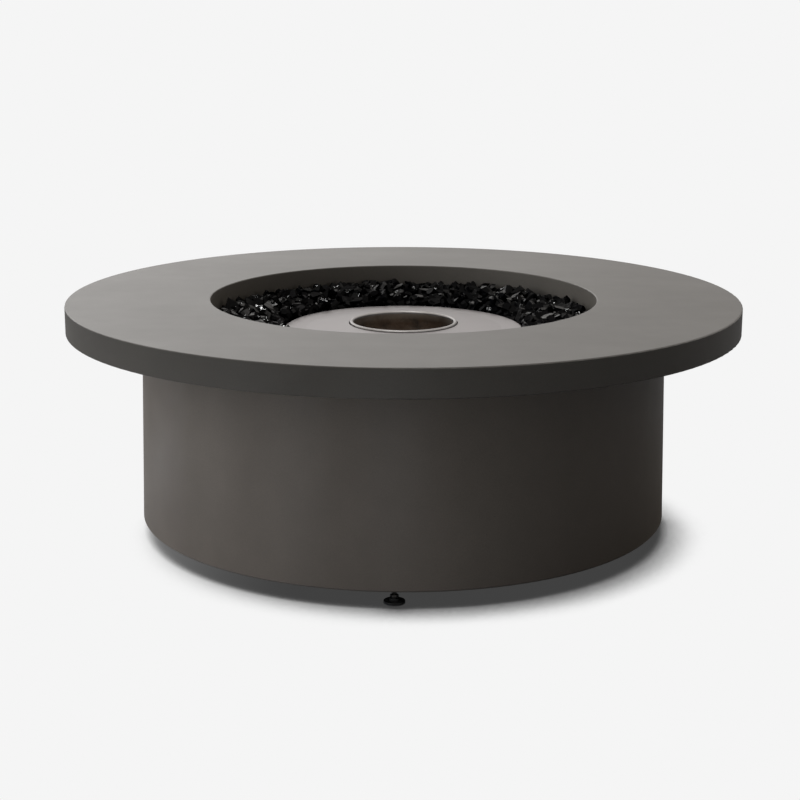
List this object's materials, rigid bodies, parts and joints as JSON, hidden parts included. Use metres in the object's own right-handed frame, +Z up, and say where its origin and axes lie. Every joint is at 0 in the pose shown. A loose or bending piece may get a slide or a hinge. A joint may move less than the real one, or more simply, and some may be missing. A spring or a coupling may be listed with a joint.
{
  "type": "ethanol fire pit table",
  "caption": "Round concrete fire table on a hollow drum with levelling feet; black glass in a steel tray surrounds a lift-out stainless ethanol burner.",
  "frame": {"origin": "on the floor under the middle of the burner, at the undersides of the foot soles", "axes": "+Z up along the table's round axis; -Y is the side that faces the viewer in the picture"},
  "size_m": [1.26, 1.26, 0.44],
  "materials": {
    "concrete": "fine cast concrete composite, matt sealed",
    "sealing_rubber": "black sheet rubber",
    "zinc_steel": "bright zinc plated",
    "black_coated_steel": "black heat-proof powder coat",
    "black_glass": "glossy black crushed glass, opaque",
    "brushed_stainless": "brushed stainless",
    "polished_stainless": "polished stainless",
    "ceramic_fibre": "white ceramic fibre wool",
    "black_plastic": "black glass-filled nylon",
    "sole_rubber": "black rubber"
  },
  "bodies": {
    "table": {"tabletop_slab": "concrete", "slab_gasket": "sealing_rubber", "slab_inserts": "zinc_steel", "slab_bolts": "zinc_steel", "slab_washers": "zinc_steel", "base_drum": "concrete", "foot_inserts": "zinc_steel", "foot_lock_nuts": "black_coated_steel"},
    "tray": {"glass_tray": "black_coated_steel", "fire_glass": "black_glass"},
    "burner": {"burner_top_plate": "brushed_stainless", "mouth_rim": "polished_stainless", "burner_throat": "brushed_stainless", "flame_baffle": "brushed_stainless", "fuel_fibre_pad": "ceramic_fibre", "fuel_tank": "brushed_stainless", "tank_deck": "brushed_stainless", "burner_casing": "brushed_stainless", "tank_standoffs": "brushed_stainless", "plate_studs": "zinc_steel", "plate_stud_nuts": "zinc_steel"},
    "foot_front": {"foot_pad_front": "black_plastic", "foot_sole_front": "sole_rubber"},
    "foot_front_stud": {"foot_stud_front": "zinc_steel"},
    "foot_right": {"foot_pad_right": "black_plastic", "foot_sole_right": "sole_rubber"},
    "foot_right_stud": {"foot_stud_right": "zinc_steel"},
    "foot_back": {"foot_pad_back": "black_plastic", "foot_sole_back": "sole_rubber"},
    "foot_back_stud": {"foot_stud_back": "zinc_steel"},
    "foot_left": {"foot_pad_left": "black_plastic", "foot_sole_left": "sole_rubber"},
    "foot_left_stud": {"foot_stud_left": "zinc_steel"}
  },
  "joints": [
    {"name": "tray_lift", "type": "slide", "parent": "table", "child": "tray", "axis": [0, 0, 1], "range_m": [0, 0.12]},
    {"name": "burner_lift", "type": "slide", "parent": "tray", "child": "burner", "axis": [0, 0, 1], "range_m": [0, 0.18]},
    {"name": "foot_front_travel", "type": "slide", "parent": "table", "child": "foot_front", "axis": [0, 0, -1], "range_m": [-0.005, 0.015]},
    {"name": "foot_front_spin", "type": "hinge", "parent": "foot_front", "child": "foot_front_stud", "pos_m": [0, -0.469, 0.02], "axis": [0, 0, -1], "range_deg": [-1440, 4320]},
    {"name": "foot_right_travel", "type": "slide", "parent": "table", "child": "foot_right", "axis": [0, 0, -1], "range_m": [-0.005, 0.015]},
    {"name": "foot_right_spin", "type": "hinge", "parent": "foot_right", "child": "foot_right_stud", "pos_m": [0.469, 0, 0.02], "axis": [0, 0, -1], "range_deg": [-1440, 4320]},
    {"name": "foot_back_travel", "type": "slide", "parent": "table", "child": "foot_back", "axis": [0, 0, -1], "range_m": [-0.005, 0.015]},
    {"name": "foot_back_spin", "type": "hinge", "parent": "foot_back", "child": "foot_back_stud", "pos_m": [0, 0.469, 0.02], "axis": [0, 0, -1], "range_deg": [-1440, 4320]},
    {"name": "foot_left_travel", "type": "slide", "parent": "table", "child": "foot_left", "axis": [0, 0, -1], "range_m": [-0.005, 0.015]},
    {"name": "foot_left_spin", "type": "hinge", "parent": "foot_left", "child": "foot_left_stud", "pos_m": [-0.469, 0, 0.02], "axis": [0, 0, -1], "range_deg": [-1440, 4320]}
  ],
  "couplings": [
    {"joint": "foot_front_travel", "follows": "foot_front_spin", "m_per_rad": 0.00019894},
    {"joint": "foot_right_travel", "follows": "foot_right_spin", "m_per_rad": 0.00019894},
    {"joint": "foot_back_travel", "follows": "foot_back_spin", "m_per_rad": 0.00019894},
    {"joint": "foot_left_travel", "follows": "foot_left_spin", "m_per_rad": 0.00019894}
  ]
}
